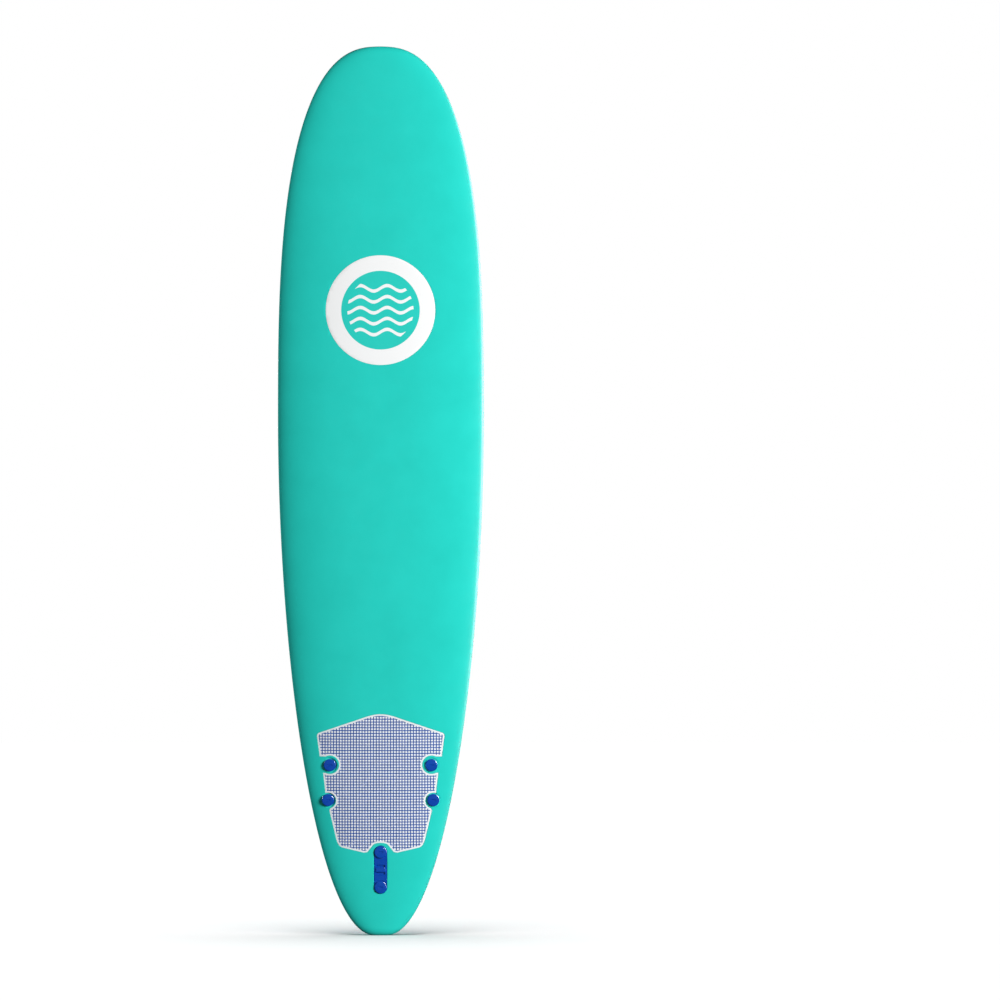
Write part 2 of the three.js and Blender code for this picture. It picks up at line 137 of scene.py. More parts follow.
# Screws, and what they pass through. A bolt's seat is the level its head or washer bears on.
HEAD_RADIUS = 17
HEAD_HEIGHT = 6
HEAD_SIDE = 3.3
HEAD_EDGE = 2.6
HEAD_DOME = 0.45
COIN_SLOT = (1.5, 11)
SHANK_RADIUS = 3.9
THREAD_RADIUS = 4
THREAD_DEPTH = 0.7
THREAD_PITCH = 2.5
THREAD_FROM = 13
THREAD_TO = 36.7
SEAT_DEPTH = 0.5
SCREW_HOLE = 4.5
DECK_HOLE = 5
SPOT_FACE_RADIUS = 20.2
SPOT_FACE_DROP = 2.6
WASHER_THICKNESS = 2
INSERT_LENGTH = 13.6
INSERT_RADIUS = 6
INSERT_BORE = 4.25
INSERT_GROOVE = 0.5
KNURL_DEPTH = 0.35
SLEEVE_RADIUS = 10
SLEEVE_BORE = 8.4
SLEEVE_DROP = 2.2

# Leash bridge, its pocket and its bar.
BRIDGE_RADIUS = 18
BRIDGE_DEPTH = 4.5
BRIDGE_POCKET = (24, 26, 3.5)
BRIDGE_BAR = (27, 13.5, 2.4)
BRIDGE_SEAT_RADIUS = 19

# Reach of cutting tools that have to pass right through.
DRILL_REACH = 140
SLAB_REACH = 300
BAR_REACH = 230

# Mesh: stations along the board, steps over a section, distances to weld within, in metres, and
# the volume of the smallest tile to keep, in cubic metres.
STATIONS = 230
DECK_STEPS = 30
TUCK_STEPS = 8
WELD = 1e-6
TILE_WELD = 2e-6
SMALLEST_BIT = 4e-9


# ---- shape of the board

def shares(z, tail_from, nose_from, inset=0.0):
    """How far each station is on the way to the tail, and on the way to the nose."""
    to_tail = np.clip((tail_from - z) / (tail_from - inset), 0, 1)
    to_nose = np.clip((z - nose_from) / (LENGTH - inset - nose_from), 0, 1)
    return to_tail, to_nose


def rocker(z):
    """Height of the bottom."""
    to_tail, to_nose = shares(z, FLAT_FROM, FLAT_TO)
    return TAIL_LIFT * to_tail ** LIFT_POWER[0] + NOSE_LIFT * to_nose ** LIFT_POWER[1]


def thickness(z):
    to_tail, to_nose = shares(z, THICK_POINT, THICK_POINT)
    tail = TAIL_THICKNESS + (MAX_THICKNESS - TAIL_THICKNESS) * (1 - to_tail ** THINNING_POWER[0])
    nose = NOSE_THICKNESS + (MAX_THICKNESS - NOSE_THICKNESS) * (1 - to_nose ** THINNING_POWER[1])
    return np.where(z < THICK_POINT, tail, nose)


def half_width(z, inset=0.0):
    """Half width of the board, or of a layer whose edge is inset from the rails."""
    widest = MAX_HALF_WIDTH - inset
    to_tail, to_nose = shares(z, WIDE_POINT, WIDE_POINT, inset)
    tail_kept = (1 - to_tail ** TAIL_CURVE[0]) ** TAIL_CURVE[1]
    nose_kept = (1 - to_nose ** NOSE_CURVE[0]) ** NOSE_CURVE[1]
    tail = TAIL_HALF_FLAT + (widest - TAIL_HALF_FLAT) * tail_kept
    nose = NOSE_HALF_FLAT + (widest - NOSE_HALF_FLAT) * nose_kept
    return np.where(z < WIDE_POINT, tail, nose)


def end_rounding(z):
    """Share of the thickness left where the ends are rounded over."""
    ends = zip(TAIL_ROUNDING, NOSE_ROUNDING)
    reach, radius = (np.where(z < LENGTH / 2, tail, nose) for tail, nose in ends)
    from_end = np.minimum(z, LENGTH - z)
    return np.sqrt(1 - (np.clip(reach - from_end, 0, None) / radius) ** 2)


def heights(z):
    """Heights of the bottom, of the middle of the deck and of the rails' apex."""
    full = thickness(z)
    kept = full * end_rounding(z)
    low = rocker(z) + (full - kept) / 2
    return low, low + kept, low + RAIL_APEX_SHARE * kept


ORIGIN_HEIGHT = float(rocker(np.array(0.0)) + thickness(np.array(0.0)) / 2)


def deck_y(x, z, depth):
    """Y of the surface that lies at a depth below the middle of the deck."""
    _, high, apex = heights(z)
    across = np.clip(np.abs(x) / half_width(z), 0, 1)
    up = (1 - across ** DOME_ACROSS) ** (1 / DOME_UP)
    return ORIGIN_HEIGHT - apex - (high - depth - apex) * up


def stations(inset):
    """Stations along a layer, closer together towards its ends."""
    start, end, closest = inset, LENGTH - inset, 0.08
    z = LENGTH * (1 - np.cos(np.linspace(0, math.pi, STATIONS + 1))) / 2
    inner = z[(z > start + closest) & (z < end - closest)]
    return np.concatenate([[start], inner, [end]])


def rings_at(z, x, height):
    """Rings of points from columns of x and height, one row for each station."""
    y = ORIGIN_HEIGHT - height
    return np.stack([x, y, np.broadcast_to(z[:, None], x.shape)], axis=-1)


def board_rings(rail=0.0, deck=0.0, bottom=0.0):
    """Sections of a layer inset from the board's rails, deck and bottom."""
    z = stations(rail)
    low, high, apex = heights(z)
    half = half_width(z, rail)
    tuck = np.minimum(RAIL_TUCK, RAIL_TUCK_SHARE * half)
    turn = np.linspace(math.pi / 2, 0, TUCK_STEPS, endpoint=False)
    rise = np.linspace(0, math.pi / 2, DECK_STEPS, endpoint=False)
    under_x = half[:, None] - tuck[:, None] * (1 - np.cos(turn))
    under_h = apex[:, None] - (apex - low - bottom)[:, None] * np.sin(turn)
    dome_x = half[:, None] * np.cos(rise) ** (2 / DOME_ACROSS)
    dome_h = apex[:, None] + (high - deck - apex)[:, None] * np.sin(rise) ** (2 / DOME_UP)
    side_x = np.concatenate([under_x, dome_x], axis=1)
    side_h = np.concatenate([under_h, dome_h], axis=1)
    top = (high - deck)[:, None]
    x = np.concatenate([side_x, np.zeros_like(top), -side_x[:, ::-1]], axis=1)
    h = np.concatenate([side_h, top, side_h[:, ::-1]], axis=1)
    return rings_at(z, x, h)


def sheet_rings(inset, edge):
    """Sections of a sheet on the bottom; edge holds pairs of level and further inset."""
    z = stations(inset)
    level, further = np.array(edge).T
    half = half_width(z, inset)[:, None] - further
    side_h = heights(z)[0][:, None] + level
    x = np.concatenate([half, -half[:, ::-1]], axis=1)
    return rings_at(z, x, np.concatenate([side_h, side_h[:, ::-1]], axis=1))


# ---- mesh helpers

def link(data, name):
    """Puts a mesh, a light or a camera in the scene."""
    obj = bpy.data.objects.new(name, data)
    bpy.context.scene.collection.objects.link(obj)
    return obj


@contextmanager
def editing(mesh):
    """Opens a mesh for bmesh operators, and writes it back."""
    work = bmesh.new()
    work.from_mesh(mesh)
    yield work
    work.to_mesh(mesh)
    work.free()


def solid(name, points, faces):
    """A closed mesh from points in millimetres, its faces turned outward."""
    mesh = bpy.data.meshes.new(name)
    mesh.from_pydata((np.asarray(points) * MM).tolist(), [], faces)
    with editing(mesh) as work:
        bmesh.ops.recalc_face_normals(work, faces=work.faces)
        if work.calc_volume(signed=True) < 0:
            bmesh.ops.reverse_faces(work, faces=work.faces)
    return link(mesh, name)


def strips(count, size, closed=False):
    """Faces between rings of the same size."""
    faces = []
    for i in range(count if closed else count - 1):
        a = i * size
        b = ((i + 1) % count) * size
        for j in range(size):
            k = (j + 1) % size
            faces.append((a + j, a + k, b + k, b + j))
    return faces


def loft(name, rings):
    """Closed solid through rings, with a flat face over each end."""
    rings = np.asarray(rings)
    count, size = rings.shape[:2]
    faces = strips(count, size)
    faces.append(tuple(range(size)))
    faces.append(tuple((count - 1) * size + j for j in range(size)))
    return solid(name, rings.reshape(-1, 3), faces)


def combine(target, others, operation="DIFFERENCE"):
    """Cuts the others from the target, or joins or intersects them, and uses the others up."""
    for other in others:
        step = target.modifiers.new("combine", "BOOLEAN")
        step.solver = "MANIFOLD"
        step.operation = operation
        step.object = other
    graph = bpy.context.evaluated_depsgraph_get()
    mesh = bpy.data.meshes.new_from_object(target.evaluated_get(graph))
    target.modifiers.clear()
    old = target.data
    target.data = mesh
    bpy.data.meshes.remove(old)
    for other in others:
        bpy.data.objects.remove(other)
    return target


def shade(obj, angle):
    """Smooth shading, with edges sharper than the angle kept sharp."""
    mesh = obj.data
    with editing(mesh) as work:
        bmesh.ops.remove_doubles(work, verts=work.verts, dist=WELD)
        bmesh.ops.dissolve_degenerate(work, edges=work.edges, dist=WELD)
    mesh.polygons.foreach_set("use_smooth", [True] * len(mesh.polygons))
    mesh.set_sharp_from_angle(angle=math.radians(angle))


def winding(outline):
    """1 for an anticlockwise outline and -1 for a clockwise one."""
    x, y = outline.T
    return np.sign(np.sum(x * np.roll(y, -1) - np.roll(x, -1) * y))


def grown(points, distance):
    """Moves every side of a closed outline outward by the same distance."""
    points = np.asarray(points, float)
    before = points - np.roll(points, 1, axis=0)
    before /= np.linalg.norm(before, axis=1)[:, None]
    after = np.roll(before, -1, axis=0)
    corner = np.stack([before[:, 1] + after[:, 1], -before[:, 0] - after[:, 0]], axis=1)
    share = winding(points) * distance / (1 + np.sum(before * after, axis=1))
    return points + corner * share[:, None]


def shrunk(outline, distance, step=1.2):
    """The outline moved inward, without the loops that this makes at its corners."""
    tolerance = 0.1
    fine = resampled(outline, step)
    moved = grown(fine, -distance)
    apart = np.linalg.norm(moved[:, None] - fine[None], axis=2).min(axis=1)
    return moved[apart > distance - tolerance][::2]


def resampled(points, step):
    """The same outline with a point at least every step."""
    points = np.asarray(points, float)
    out = []
    for start, end in zip(points, np.roll(points, -1, axis=0)):
        parts = max(1, math.ceil(np.linalg.norm(end - start) / step))
        for i in range(parts):
            out.append(start + (end - start) * i / parts)
    return np.array(out)


def inside(points, outline):
    """Which points lie inside an outline."""
    px, py = points[:, 0][:, None], points[:, 1][:, None]
    ax, ay = outline.T
    bx, by = np.roll(outline, -1, axis=0).T
    spans = (ay > py) != (by > py)
    cross_x = ax + (py - ay) * (bx - ax) / np.where(by == ay, 1, by - ay)
    return np.sum(spans & (px < cross_x), axis=1) % 2 == 1


def filled(outline, cell=1e6):
    """Outline points, then a grid inside them if the cell is small enough, and the triangles."""
    clear, tolerance = 0.45 * cell, 1e-7
    spans = zip(outline.min(axis=0), outline.max(axis=0))
    lines = [np.arange(low + cell / 2, high, cell) for low, high in spans]
    grid = np.stack(np.meshgrid(*lines), axis=-1).reshape(-1, 2)
    grid = grid[inside(grid, outline)]
    if len(grid):
        distance = np.linalg.norm(grid[:, None] - outline[None], axis=2).min(axis=1)
        grid = grid[distance > clear]
    points = np.concatenate([outline, grid])
    ring = list(range(len(outline)))
    if winding(outline) < 0:
        ring.reverse()
    made = delaunay_2d_cdt([Vector(p) for p in points.tolist()], [], [ring], 1, tolerance)
    source = [origins[0] for origins in made[3]]
    triangles = [tuple(source[i] for i in face) for face in made[2]]
    return points, triangles


# ---- frames of the fins

def unit(vector):
    return vector / np.linalg.norm(vector)


JOINTS = {joint["name"]: joint for joint in frame["record"]["behaviour"]["joints"]}


def screw_origin(name):
    return np.array(JOINTS[f"screw_{name}_turn"]["pos_m"]) / MM


def fin_frame(name):
    """X across, +Y out of the bottom, +Z forward, from the fin's release slide and its screws."""
    out = unit(np.array(JOINTS[f"fin_{name}_release"]["axis"]))
    front, rear = screw_origin(f"{name}_front"), screw_origin(f"{name}_rear")
    along = front - rear
    forward = unit(along - out * (along @ out))
    across = np.cross(out, forward)
    origin = (front + rear) / 2
    for _ in range(12):
        bottom = ORIGIN_HEIGHT - heights(origin[2])[0]
        origin = origin + out * (bottom - origin[1]) / out[1]
    return {"name": name, "origin": origin, "axes": np.array([across, out, forward])}


def place(fitting, points):
    """Points given in a fin's frame, in the frame of the board."""
    return fitting["origin"] + np.asarray(points) @ fitting["axes"]


BOARD = {"name": "board", "origin": np.zeros(3), "axes": np.eye(3)}
FINS = [fin_frame(name) for name in ("left", "right", "centre")]
CENTRE_FIN = FINS[2]
BOLTS = []
for fitting in FINS:
    for end in ("front", "rear"):
        name = f"{fitting['name']}_{end}"
        local = fitting["axes"] @ (screw_origin(name) - fitting["origin"])
        BOLTS.append({"name": name, "fitting": fitting, "z": local[2], "seat": local[1]})


def raised(flat, level):
    """Points from their X and Z and a common level Y."""
    return np.stack([flat[:, 0], np.full(len(flat), float(level)), flat[:, 1]], axis=1)


def on_deck(fitting, flat, depth):
    """Points whose X and Z are given in a fin's frame, moved along its Y to a depth in the deck."""
    _, out, _ = fitting["axes"]
    points = place(fitting, raised(flat, 0))
    for _ in range(8):
        step = (deck_y(points[:, 0], points[:, 2], depth) - points[:, 1]) / out[1]
        points = points + step[:, None] * out
    return points


def plug(name, fitting, outline, levels, floor=None, cell=12):
    """Closed solid that follows the deck: levels hold pairs of depth and outward growth.

    With a floor the last level is a plane at that Y of the fin's frame.
    """
    rings, caps = [], []
    for i, (depth, growth) in enumerate(levels):
        ring = grown(outline, growth)
        last = i == len(levels) - 1
        flat, triangles = filled(ring, cell) if i == 0 or last else (ring, [])
        if last and floor is not None:
            placed = place(fitting, raised(flat, floor))
        else:
            placed = on_deck(fitting, flat, depth)
        rings.append(placed[:len(outline)])
        caps.append((placed[len(outline):], triangles))
    size = len(outline)
    points = [np.concatenate(rings)]
    faces = strips(len(rings), size)
    total = len(rings) * size
    for row, (extra, triangles) in enumerate(caps):
        for face in triangles:
            faces.append(tuple(row * size + i if i < size else total + i - size for i in face))
        points.append(extra)
        total += len(extra)
    return solid(name, np.concatenate(points), faces)


def stack(name, fitting, outline, levels):
    """Closed solid through copies of an outline at levels of a fin's Y: (level, growth)."""
    rings = [raised(grown(outline, growth), level) for level, growth in levels]
    size = len(outline)
    faces = strips(len(rings), size)
    for row in (0, len(rings) - 1):
        _, triangles = filled(rings[row][:, [0, 2]])
        faces += [tuple(row * size + i for i in face) for face in triangles]
    return solid(name, place(fitting, np.concatenate(rings)), faces)


def circle(radius, z, sides=64):
    turn = np.arange(sides) * TAU / sides
    return np.stack([radius * np.cos(turn), z + radius * np.sin(turn)], axis=1)


def arc(x, z, radius, start, end, steps):
    turn = np.radians(np.linspace(start, end, steps + 1))
    return np.stack([x + radius * np.cos(turn), z + radius * np.sin(turn)], axis=1)


def stadium(radius, spacing, along_x=False, steps=24):
    """A slot with round ends."""
    half = spacing / 2
    ends = [arc(0, half, radius, 0, 180, steps), arc(0, -half, radius, 180, 360, steps)]
    points = np.concatenate(ends)
    return points[:, ::-1] if along_x else points


def round_box(width, length, radius, steps=6):
    """A rectangle with round corners."""
    x, z = width / 2 - radius, length / 2 - radius
    corners = [(x, z, 0), (-x, z, 90), (-x, -z, 180), (x, -z, 270)]
    return np.concatenate([arc(cx, cz, radius, turn, turn + 90, steps) for cx, cz, turn in corners])


def revolve(name, fitting, profile, z, sides=64, wave=None, tube=False):
    """Turned solid about a line along a fin's Y at z; profile holds pairs of radius and level."""
    profile = np.asarray(profile, float)
    turn = np.arange(sides) * TAU / sides
    radius = np.broadcast_to(profile[:, 0][:, None], (len(profile), sides))
    level = np.broadcast_to(profile[:, 1][:, None], radius.shape)
    if wave is not None:
        radius = wave(radius, level, turn[None, :])
    points = np.stack([radius * np.cos(turn), level, z + radius * np.sin(turn)], axis=-1)
    if not tube:
        return loft(name, place(fitting, points))
    faces = strips(len(profile), sides, closed=True)
    return solid(name, place(fitting, points.reshape(-1, 3)), faces)


def drill(bolt, radius):
    profile = [(radius, -DRILL_REACH), (radius, DRILL_REACH)]
    return revolve("drill", bolt["fitting"], profile, bolt["z"], sides=32)


# ---- outlines on the deck

def quad_curve(start, control, end, steps=8):
    t = np.linspace(0, 1, steps + 1)[:, None]
    start, control, end = map(np.array, (start, control, end))
    return (1 - t) ** 2 * start + 2 * t * (1 - t) * control + t ** 2 * end


def pad_outline():
    """Traction pad with a round scallop beside each side-fin screw and a notch at the leash bridge."""
    right = np.concatenate([
        quad_curve((5, 607.2), (24, 606.6), (56, 594.6)),
        quad_curve((170, 556), (176, 553), (175.5, 546)),
        [(168, 491)],
        arc(139.8, 468.2, 25.5, 62, 297, 30),
        [(158.7, 446), (153, 398.6)],
        arc(144.8, 369.4, 22, 70, 255, 26),
        [(141, 342)],
        quad_curve((122.6, 265), (117, 243), (104.5, 240.6)),
        [(46, 227), (36.6, 228.5)],
        quad_curve((19.5, 249.5), (14, 253.5), (0, 254)),
    ])
    left = right[:-1][::-1] * (-1, 1)
    return resampled(np.concatenate([right, left]), 4)


PAD = pad_outline()
BADGE = circle(BADGE_RADIUS, z=BADGE_Z, sides=200)


def rounded(start, side, radius, turns):
    """Levels over a rounded lip that ends at the side."""
    turns = [math.radians(turn) for turn in turns]
    return [(start + radius * (1 - math.cos(t)), side + radius * (1 - math.sin(t))) for t in turns]


def recess_edge(lip, floor):
    """Levels of a recess: its lip is rounded over and its wall is plumb below."""
    levels = [(-3, GAP + 1.2 * lip), (0.06 * lip, GAP + 0.66 * lip)]
    return levels + rounded(0, GAP, lip, (35, 50, 65, 90)) + [(floor, GAP)]


# ---- foam, sheets and core

def make_deck_skin():
    skin = loft("deck_skin_foam", board_rings())
    wrap = [(-8, -6), (-0.02, -0.9), (0.1, -0.5), (0.35, -0.15), (0.8, 0), (BOTTOM_STACK + GAP, 0)]
    cutters = [
        loft("cavity", board_rings(RAIL_FOAM, DECK_FOAM, BOTTOM_STACK)),
        loft("pocket", sheet_rings(RAIL_WRAP, wrap)),
        plug("pad_recess", BOARD, PAD, recess_edge(0.9, PAD_TOP + 2 * (PAD_LAYER + GAP))),
        plug("badge_recess", BOARD, BADGE, recess_edge(0.3, BADGE_THICKNESS + GAP)),
    ]
    for bolt in BOLTS:
        cutters.append(drill(bolt, DECK_HOLE))
        if bolt["fitting"] is not CENTRE_FIN:
            floor = bolt["seat"] + SPOT_FACE_DROP
            ring = circle(SPOT_FACE_RADIUS, bolt["z"])
            cutters.append(plug("spot_face", bolt["fitting"], ring, recess_edge(1.5, 0), floor=floor))
    well = stadium(BRIDGE_RADIUS, 2 * BOLT_HALF_SPACING)
    levels = recess_edge(1.0, BRIDGE_DEPTH + GAP)
    cutters.append(plug("leash_well", CENTRE_FIN, well, levels))
    return combine(skin, cutters)


def make_sheet(name, inset, from_level, to_level, edge):
    levels = [(from_level, edge), (from_level + 0.3 * edge, 0.3 * edge), (from_level + edge, 0)]
    sheet = loft(name, sheet_rings(inset, levels + [(to_level, 0)]))
    return combine(sheet, [drill(bolt, SLEEVE_BORE) for bolt in BOLTS])


def slab(from_x, to_x):
    corners = [(from_x, -1), (to_x, -1), (to_x, LENGTH + 1), (from_x, LENGTH + 1)]
    return stack("slab", BOARD, np.array(corners), [(-SLAB_REACH, 0), (SLAB_REACH, 0)])


def make_core():
    """The core in three lengths of bead foam, with the two stringers between them."""
    inner, outer = STRINGER_X - STRINGER_HALF, STRINGER_X + STRINGER_HALF
    parts = [
        ("core_left", -SLAB_REACH, -outer - GAP),
        ("stringer_left", -outer, -inner),
        ("core_centre", -inner + GAP, inner - GAP),
        ("stringer_right", inner, outer),
        ("core_right", outer + GAP, SLAB_REACH),
    ]
    whole = loft("core", board_rings(RAIL_FOAM + GAP, DECK_FOAM + GAP, BOTTOM_STACK + GAP))
    combine(whole, [drill(bolt, SLEEVE_RADIUS + GAP) for bolt in BOLTS])
    made = {}
    for name, start, end in parts:
        part = link(whole.data.copy(), f"{name}_part")
        made[name] = combine(part, [slab(start, end)], "INTERSECT")
    bpy.data.objects.remove(whole)
    return made


def groove_flare():
    """Depths and outward growth of a groove's walls, which round over into the pad's face."""
    levels = [(0.2, GROOVE_EDGE + 0.4), (PAD_TOP - 0.01, GROOVE_EDGE + 0.05)]
    lip = rounded(PAD_TOP, 0, GROOVE_EDGE, (30, 60, 90))
    return levels + lip + [(PAD_TOP + 2 * PAD_LAYER, 0)]


def make_pad_top():
    """White layer of the pad: a border round small square tiles, with grooves through to the base."""
    low, high = PAD.min(axis=0), PAD.max(axis=0)
    centre = (0, (low[1] + high[1]) / 2)
    flare = groove_flare()
    section = [(s * (GROOVE / 2 + out), down) for s in (-1, 1) for down, out in flare[::-s]]
    bars = []
    for axis in (0, 1):
        reach = (high[axis] - low[axis]) / 2 + TILE_PITCH
        count = int(reach // TILE_PITCH)
        ends = (centre[1 - axis] - BAR_REACH, centre[1 - axis] + BAR_REACH)
        points, faces = [], []
        for k in range(-count, count + 1):
            line = centre[axis] + (k + 0.5) * TILE_PITCH
            rim = [len(points) + 2 * j for j in range(len(section))]
            for side, depth in section:
                for end in ends:
                    points.append((line + side, depth, end) if axis == 0 else (end, depth, line + side))
            faces += [(a, b, b + 1, a + 1) for a, b in zip(rim, rim[1:] + rim[:1])]
            faces += [rim, [a + 1 for a in rim]]
        bars.append(solid("bars", points, faces))
    grooves = combine(bars[0], [bars[1]], "UNION")
    inner = stack("inner", BOARD, shrunk(PAD, PAD_BORDER), flare)
    combine(grooves, [inner], "INTERSECT")
    edge = [(0, -0.8), (0.06, -0.45), (0.22, -0.14), (0.5, 0), (PAD_LAYER, 0)]
    top = stack("pad_top_eva", BOARD, PAD, [(PAD_TOP + down, growth) for down, growth in edge])
    combine(top, [grooves])
    with editing(top.data) as work:
        bmesh.ops.remove_doubles(work, verts=work.verts, dist=TILE_WELD)
        bmesh.ops.triangulate(work, faces=work.faces)
        drop_islands(work, SMALLEST_BIT)
    points = np.zeros(len(top.data.vertices) * 3)
    top.data.vertices.foreach_get("co", points)
    points = points.reshape(-1, 3) / MM
    points[:, 1] = deck_y(points[:, 0], points[:, 2], points[:, 1])
    top.data.vertices.foreach_set("co", (points * MM).ravel())
    return top


def drop_islands(work, smallest):
    """Deletes loose bits of a triangle mesh whose volume in cubic metres is below the smallest."""
    left = set(work.verts)
    while left:
        island = [left.pop()]
        for vert in island:
            for edge in vert.link_edges:
                other = edge.other_vert(vert)
                if other in left:
                    left.remove(other)
                    island.append(other)
        volume = 0.0
        for face in {face for vert in island for face in vert.link_faces}:
            a, b, c = (vert.co for vert in face.verts)
            volume += a.dot(b.cross(c)) / 6
        if abs(volume) < smallest:
            bmesh.ops.delete(work, geom=island, context="VERTS")


# ---- fins

# A blade's section: it thins by this share down to the tip, and where its chord is short. The foil
# curve is divided by its highest value.
TIP_THINNING = 0.7
FULL_CHORD = 48
FOIL_PEAK = 0.4015

# Edges of the blade: depth below the board and distance aft of the root's leading end.
LEADING = [
    (0, 0), (13, 7), (39.5, 23.5), (59, 38.5), (76, 53.4), (88, 65), (96, 78.6), (101, 93), (104, 118),
]
TRAILING = [
    (0, 102), (13, 99), (39.5, 107), (59, 123), (70, 139), (76, 149), (80.5, 154.5), (86, 156.5),
    (92, 154.5), (99, 147.5), (103, 134), (104, 118),
]


def smooth_line(points, steps=16):
    """Hermite curve through points, its slopes taken from their neighbours."""
    points = np.array(points, float)
    chord = np.linalg.norm(np.diff(points, axis=0), axis=1)
    at = np.concatenate([[0], np.cumsum(np.sqrt(chord))])
    slope = np.gradient(points, at, axis=0)
    out = []
    for i in range(len(points) - 1):
        t = np.linspace(0, 1, steps, endpoint=i == len(points) - 2)[:, None]
        span = at[i + 1] - at[i]
        out.append(
            (2 * t ** 3 - 3 * t ** 2 + 1) * points[i] + (t ** 3 - 2 * t ** 2 + t) * span * slope[i]
            + (3 * t ** 2 - 2 * t ** 3) * points[i + 1] + (t ** 3 - t ** 2) * span * slope[i + 1]
        )
    curve = np.concatenate(out)
    curve[:, 0] = np.maximum.accumulate(curve[:, 0])
    return curve


def blade_rings(cant):
    """Foil sections from the root down to the tip, with a fillet where the base plate ends."""
    lead, trail = smooth_line(LEADING), smooth_line(TRAILING)
    fillet = BLADE_FILLET
    curl = fillet * (1 - np.cos(np.linspace(0.3, math.pi / 2, 7)))
    low = BASE_PLATE_HEIGHT - BLADE_ROOT
    body = np.linspace(low + fillet + 2, BLADE_DEPTH - BLADE_TIP, 30)
    tip = BLADE_DEPTH - BLADE_TIP * np.cos(np.linspace(0.1, 1, 22) * math.pi / 2) ** 1.6
    depth = np.concatenate([[0, low], low + curl, body, tip[1:-1], [BLADE_DEPTH - 0.02]])
    s = (1 - np.cos(np.linspace(0, math.pi, 30))) / 2
    rings = []
    for down in depth:
        front = BLADE_FRONT - np.interp(down, lead[:, 0], lead[:, 1])
        back = BLADE_FRONT - np.interp(down, trail[:, 0], trail[:, 1])
        chord = max(front - back, 0.3)
        above = max(0.0, fillet - max(0.0, down - low))
        flare = fillet - math.sqrt(max(0.0, fillet ** 2 - above ** 2))
        half = BLADE_THICKNESS / 2 * (1 - TIP_THINNING * down / BLADE_DEPTH)
        half *= min(1.0, (chord / FULL_CHORD) ** 0.6)
        foil = np.sqrt(s) * (1 - s) ** 0.9 / FOIL_PEAK
        spread = flare * np.minimum(1, 2.2 * np.sqrt(s * (1 - s)))
        side = half * foil + 0.5 * s * np.sqrt(1 - s) + spread
        z = front + flare - s * (chord + 2 * flare)
        x = np.concatenate([side, -side[-2:0:-1]])
        ring_z = np.concatenate([z, z[-2:0:-1]])
        rings.append(raised(np.stack([x, ring_z], axis=1), down + BLADE_ROOT))
    turn = -math.radians(cant)
    cos, sin = math.cos(turn), math.sin(turn)
    spin = np.array([[cos, -sin, 0], [sin, cos, 0], [0, 0, 1]])
    return np.array(rings) @ spin.T


def make_fin(fitting):
    """Blade, base plate and the two hollow posts that take the screws, as one moulding."""
    name = fitting["name"]
    cant = {"left": -SIDE_CANT, "right": SIDE_CANT, "centre": 0}[name]
    length, width = BASE_PLATE
    levels = [
        (GAP, -0.5), (0.45, -0.15), (0.8, 0), (1.9, 0),
        (2.5, -0.12), (2.95, -0.5), (3.2, -1.1), (BASE_PLATE_HEIGHT, -1.9),
    ]
    plate_outline = stadium(width / 2, length - width, steps=40)
    plate = stack(f"fin_{name}_moulding", fitting, plate_outline, levels)
    others = [loft("blade", place(fitting, blade_rings(cant)))]
    bores = []
    post = [(-1.1, 0), (-0.5, 0.1), (-0.1, 0.5), (0, 1), (0, 1 - POST_END)]
    bore = [(0.7, -1), (0.35, 0.1), (0, 0.6), (0, -2 - POST_END)]
    for z in (BOLT_HALF_SPACING, -BOLT_HALF_SPACING):
        for made, radius, edge in ((others, POST_RADIUS, post), (bores, POST_BORE, bore)):
            profile = [(radius + growth, POST_END + rise) for growth, rise in edge]
            made.append(revolve("post_or_bore", fitting, profile, z, sides=48))
    return combine(combine(plate, others, "UNION"), bores)


# ---- small fittings

def make_screw(bolt):
    """Coin-slot screw with a domed head and a modelled thread."""
    inner = HEAD_RADIUS - HEAD_EDGE
    dome = [(r, -HEAD_HEIGHT + HEAD_DOME * (r / inner) ** 2) for r in np.linspace(0.6, inner, 10)]
    rise = HEAD_HEIGHT - HEAD_DOME - HEAD_SIDE
    edge = [
        (inner + HEAD_EDGE * math.sin(t), -HEAD_SIDE - rise * math.cos(t))
        for t in np.linspace(0.12, math.pi / 2, 10)
    ]
    under = [
        (HEAD_RADIUS, -0.6), (HEAD_RADIUS - 0.15, -0.2), (HEAD_RADIUS - 0.6, 0), (4.6, 0),
        (4.1, 0.15), (SHANK_RADIUS, 0.5), (SHANK_RADIUS, THREAD_FROM),
    ]
    thread = [(THREAD_RADIUS, level) for level in np.arange(THREAD_FROM + 0.25, THREAD_TO - 0.1, 0.25)]
    tip = [(3.2, 36.9), (2.9, 37.6), (2.4, 38)]
    seat = bolt["seat"]

    def helix(radius, level, turn):
        phase = ((level - seat) / THREAD_PITCH + turn / TAU) % 1
        tooth = np.clip(2.6 * np.abs(phase - 0.5) - 0.25, 0, 0.8) / 0.8
        fade = np.clip((level - seat - THREAD_FROM) / 3, 0, 1) * (level - seat < THREAD_TO)
        return radius - THREAD_DEPTH * (1 - tooth) * fade

    profile = [(r, seat + level) for r, level in dome + edge + under + thread + tip]
    name = f"screw_{bolt['name']}_moulding"
    screw = revolve(name, bolt["fitting"], profile, bolt["z"], sides=64, wave=helix)
    radius, spacing = COIN_SLOT
    slot = stadium(radius, spacing, along_x=True, steps=10) + (0, bolt["z"])
    levels = [(-8, 1.0), (-6.1, 0.5), (-5.8, 0.2), (-5.4, 0), (-3.9, -0.1)]
    cut = stack("coin_slot", bolt["fitting"], slot, [(seat + y, growth) for y, growth in levels])
    return combine(screw, [cut])


